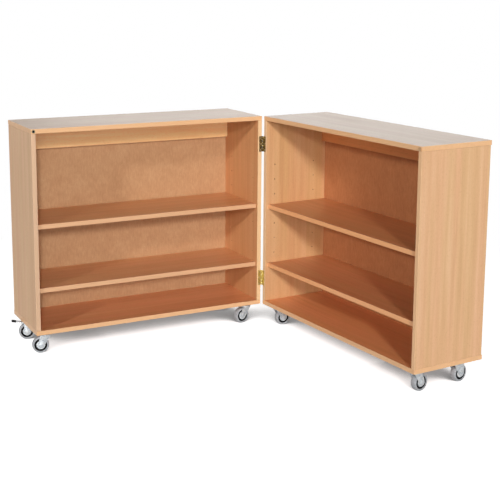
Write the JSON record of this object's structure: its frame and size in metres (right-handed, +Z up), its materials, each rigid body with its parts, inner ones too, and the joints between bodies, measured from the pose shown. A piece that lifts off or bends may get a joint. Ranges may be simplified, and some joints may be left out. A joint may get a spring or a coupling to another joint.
{
  "type": "hinged mobile bookcase",
  "caption": "Two open-fronted bookcases with adjustable shelves, hinged together along their front corners so they fold face to face, on swivel castors.",
  "frame": {"origin": "on the floor, under the middle of the bounding box of the whole bookcase as it stands open", "axes": "+Z up; +X along the left bookcase's width, from its outer end to the hinge line; -Y the way the left bookcase's open front faces"},
  "size_m": [1.4329, 1.3289, 0.9075],
  "materials": {
    "beech_board": "satin beech-effect melamine",
    "back_board": "matt hardboard",
    "hinge_brass": "polished",
    "catch_magnet": "dark plastic with a pale rim",
    "catch_strike": "zinc plated",
    "zinc_plate": "bright zinc plated pressed steel",
    "wheel_centre": "black moulding",
    "grey_rubber": "grey non-marking rubber",
    "brake_pedal": "zinc plated arm with a black pad"
  },
  "bodies": {
    "left_bookcase": {"left_back_hinge_castor_plate": "zinc_plate", "left_back_outer_castor_plate": "zinc_plate", "left_back_panel": "back_board", "left_bottom_panel": "beech_board", "left_catch_magnet": "catch_magnet", "left_front_hinge_castor_plate": "zinc_plate", "left_front_outer_castor_plate": "zinc_plate", "left_hinge_side": "beech_board", "left_lower_shelf": "beech_board", "left_outer_side": "beech_board", "left_top_panel": "beech_board", "left_top_rail": "beech_board", "left_upper_shelf": "beech_board", "lower_hinge_left_leaf": "hinge_brass", "lower_hinge_pin": "hinge_brass", "upper_hinge_left_leaf": "hinge_brass", "upper_hinge_pin": "hinge_brass"},
    "right_bookcase": {"right_back_hinge_castor_plate": "zinc_plate", "right_back_outer_castor_plate": "zinc_plate", "right_back_panel": "back_board", "right_bottom_panel": "beech_board", "right_catch_strike": "catch_strike", "right_front_hinge_castor_plate": "zinc_plate", "right_front_outer_castor_plate": "zinc_plate", "right_hinge_side": "beech_board", "right_lower_shelf": "beech_board", "right_outer_side": "beech_board", "right_top_panel": "beech_board", "right_top_rail": "beech_board", "right_upper_shelf": "beech_board", "lower_hinge_right_leaf": "hinge_brass", "upper_hinge_right_leaf": "hinge_brass"},
    "left_back_hinge_fork": {"left_back_hinge_castor_fork": "zinc_plate"},
    "left_back_hinge_wheel": {"left_back_hinge_castor_hub": "wheel_centre", "left_back_hinge_castor_tyre": "grey_rubber"},
    "left_back_hinge_pedal": {"left_back_hinge_brake_pedal": "brake_pedal"},
    "left_back_outer_fork": {"left_back_outer_castor_fork": "zinc_plate"},
    "left_back_outer_wheel": {"left_back_outer_castor_hub": "wheel_centre", "left_back_outer_castor_tyre": "grey_rubber"},
    "left_back_outer_pedal": {"left_back_outer_brake_pedal": "brake_pedal"},
    "left_front_hinge_fork": {"left_front_hinge_castor_fork": "zinc_plate"},
    "left_front_hinge_wheel": {"left_front_hinge_castor_hub": "wheel_centre", "left_front_hinge_castor_tyre": "grey_rubber"},
    "left_front_outer_fork": {"left_front_outer_castor_fork": "zinc_plate"},
    "left_front_outer_wheel": {"left_front_outer_castor_hub": "wheel_centre", "left_front_outer_castor_tyre": "grey_rubber"},
    "right_back_hinge_fork": {"right_back_hinge_castor_fork": "zinc_plate"},
    "right_back_hinge_wheel": {"right_back_hinge_castor_hub": "wheel_centre", "right_back_hinge_castor_tyre": "grey_rubber"},
    "right_back_hinge_pedal": {"right_back_hinge_brake_pedal": "brake_pedal"},
    "right_back_outer_fork": {"right_back_outer_castor_fork": "zinc_plate"},
    "right_back_outer_wheel": {"right_back_outer_castor_hub": "wheel_centre", "right_back_outer_castor_tyre": "grey_rubber"},
    "right_back_outer_pedal": {"right_back_outer_brake_pedal": "brake_pedal"},
    "right_front_hinge_fork": {"right_front_hinge_castor_fork": "zinc_plate"},
    "right_front_hinge_wheel": {"right_front_hinge_castor_hub": "wheel_centre", "right_front_hinge_castor_tyre": "grey_rubber"},
    "right_front_outer_fork": {"right_front_outer_castor_fork": "zinc_plate"},
    "right_front_outer_wheel": {"right_front_outer_castor_hub": "wheel_centre", "right_front_outer_castor_tyre": "grey_rubber"}
  },
  "joints": [
    {"name": "bookcase_hinge", "type": "hinge", "parent": "left_bookcase", "child": "right_bookcase", "pos_m": [0.32024, 0.33668, 0.4975], "axis": [0, 0, 1], "range_deg": [-94, 86]},
    {"name": "left_back_hinge_swivel", "type": "hinge", "parent": "left_bookcase", "child": "left_back_hinge_fork", "pos_m": [0.26644, 0.57948, 0.0709], "axis": [0, 0, 1], "continuous": true},
    {"name": "left_back_hinge_wheel_spin", "type": "hinge", "parent": "left_back_hinge_fork", "child": "left_back_hinge_wheel", "pos_m": [0.24644, 0.57948, 0.03358], "axis": [0, -1, 0], "continuous": true},
    {"name": "left_back_hinge_brake_press", "type": "hinge", "parent": "left_back_hinge_fork", "child": "left_back_hinge_pedal", "pos_m": [0.23924, 0.57948, 0.0707], "axis": [0, -1, 0], "range_deg": [0, 10]},
    {"name": "left_back_outer_swivel", "type": "hinge", "parent": "left_bookcase", "child": "left_back_outer_fork", "pos_m": [-0.63356, 0.57948, 0.0709], "axis": [0, 0, 1], "continuous": true},
    {"name": "left_back_outer_wheel_spin", "type": "hinge", "parent": "left_back_outer_fork", "child": "left_back_outer_wheel", "pos_m": [-0.65297, 0.58432, 0.03358], "axis": [-0.2419, -0.9703, 0], "continuous": true},
    {"name": "left_back_outer_brake_press", "type": "hinge", "parent": "left_back_outer_fork", "child": "left_back_outer_pedal", "pos_m": [-0.65995, 0.58606, 0.0707], "axis": [-0.2419, -0.9703, 0], "range_deg": [0, 10]},
    {"name": "left_front_hinge_swivel", "type": "hinge", "parent": "left_bookcase", "child": "left_front_hinge_fork", "pos_m": [0.26644, 0.38948, 0.0709], "axis": [0, 0, 1], "continuous": true},
    {"name": "left_front_hinge_wheel_spin", "type": "hinge", "parent": "left_front_hinge_fork", "child": "left_front_hinge_wheel", "pos_m": [0.24674, 0.38601, 0.03358], "axis": [0.1736, -0.9848, 0], "continuous": true},
    {"name": "left_front_outer_swivel", "type": "hinge", "parent": "left_bookcase", "child": "left_front_outer_fork", "pos_m": [-0.63356, 0.38948, 0.0709], "axis": [0, 0, 1], "continuous": true},
    {"name": "left_front_outer_wheel_spin", "type": "hinge", "parent": "left_front_outer_fork", "child": "left_front_outer_wheel", "pos_m": [-0.65312, 0.39364, 0.03358], "axis": [-0.2079, -0.9781, 0], "continuous": true},
    {"name": "right_back_hinge_swivel", "type": "hinge", "parent": "right_bookcase", "child": "right_back_hinge_fork", "pos_m": [0.5662, 0.29995, 0.0709], "axis": [0, 0, 1], "continuous": true},
    {"name": "right_back_hinge_wheel_spin", "type": "hinge", "parent": "right_back_hinge_fork", "child": "right_back_hinge_wheel", "pos_m": [0.58609, 0.30204, 0.03358], "axis": [-0.1045, 0.9945, 0], "continuous": true},
    {"name": "right_back_hinge_brake_press", "type": "hinge", "parent": "right_back_hinge_fork", "child": "right_back_hinge_pedal", "pos_m": [0.59325, 0.30279, 0.0707], "axis": [-0.1045, 0.9945, 0], "range_deg": [0, 10]},
    {"name": "right_back_outer_swivel", "type": "hinge", "parent": "right_bookcase", "child": "right_back_outer_fork", "pos_m": [0.62898, -0.59786, 0.0709], "axis": [0, 0, 1], "continuous": true},
    {"name": "right_back_outer_wheel_spin", "type": "hinge", "parent": "right_back_outer_fork", "child": "right_back_outer_wheel", "pos_m": [0.64861, -0.59404, 0.03358], "axis": [-0.1908, 0.9816, 0], "continuous": true},
    {"name": "right_back_outer_brake_press", "type": "hinge", "parent": "right_back_outer_fork", "child": "right_back_outer_pedal", "pos_m": [0.65568, -0.59267, 0.0707], "axis": [-0.1908, 0.9816, 0], "range_deg": [0, 10]},
    {"name": "right_front_hinge_swivel", "type": "hinge", "parent": "right_bookcase", "child": "right_front_hinge_fork", "pos_m": [0.37666, 0.28669, 0.0709], "axis": [0, 0, 1], "continuous": true},
    {"name": "right_front_hinge_wheel_spin", "type": "hinge", "parent": "right_front_hinge_fork", "child": "right_front_hinge_wheel", "pos_m": [0.39666, 0.28704, 0.03358], "axis": [-0.0175, 0.9998, 0], "continuous": true},
    {"name": "right_front_outer_swivel", "type": "hinge", "parent": "right_bookcase", "child": "right_front_outer_fork", "pos_m": [0.43944, -0.61111, 0.0709], "axis": [0, 0, 1], "continuous": true},
    {"name": "right_front_outer_wheel_spin", "type": "hinge", "parent": "right_front_outer_fork", "child": "right_front_outer_wheel", "pos_m": [0.45908, -0.6073, 0.03358], "axis": [-0.1908, 0.9816, 0], "continuous": true}
  ]
}
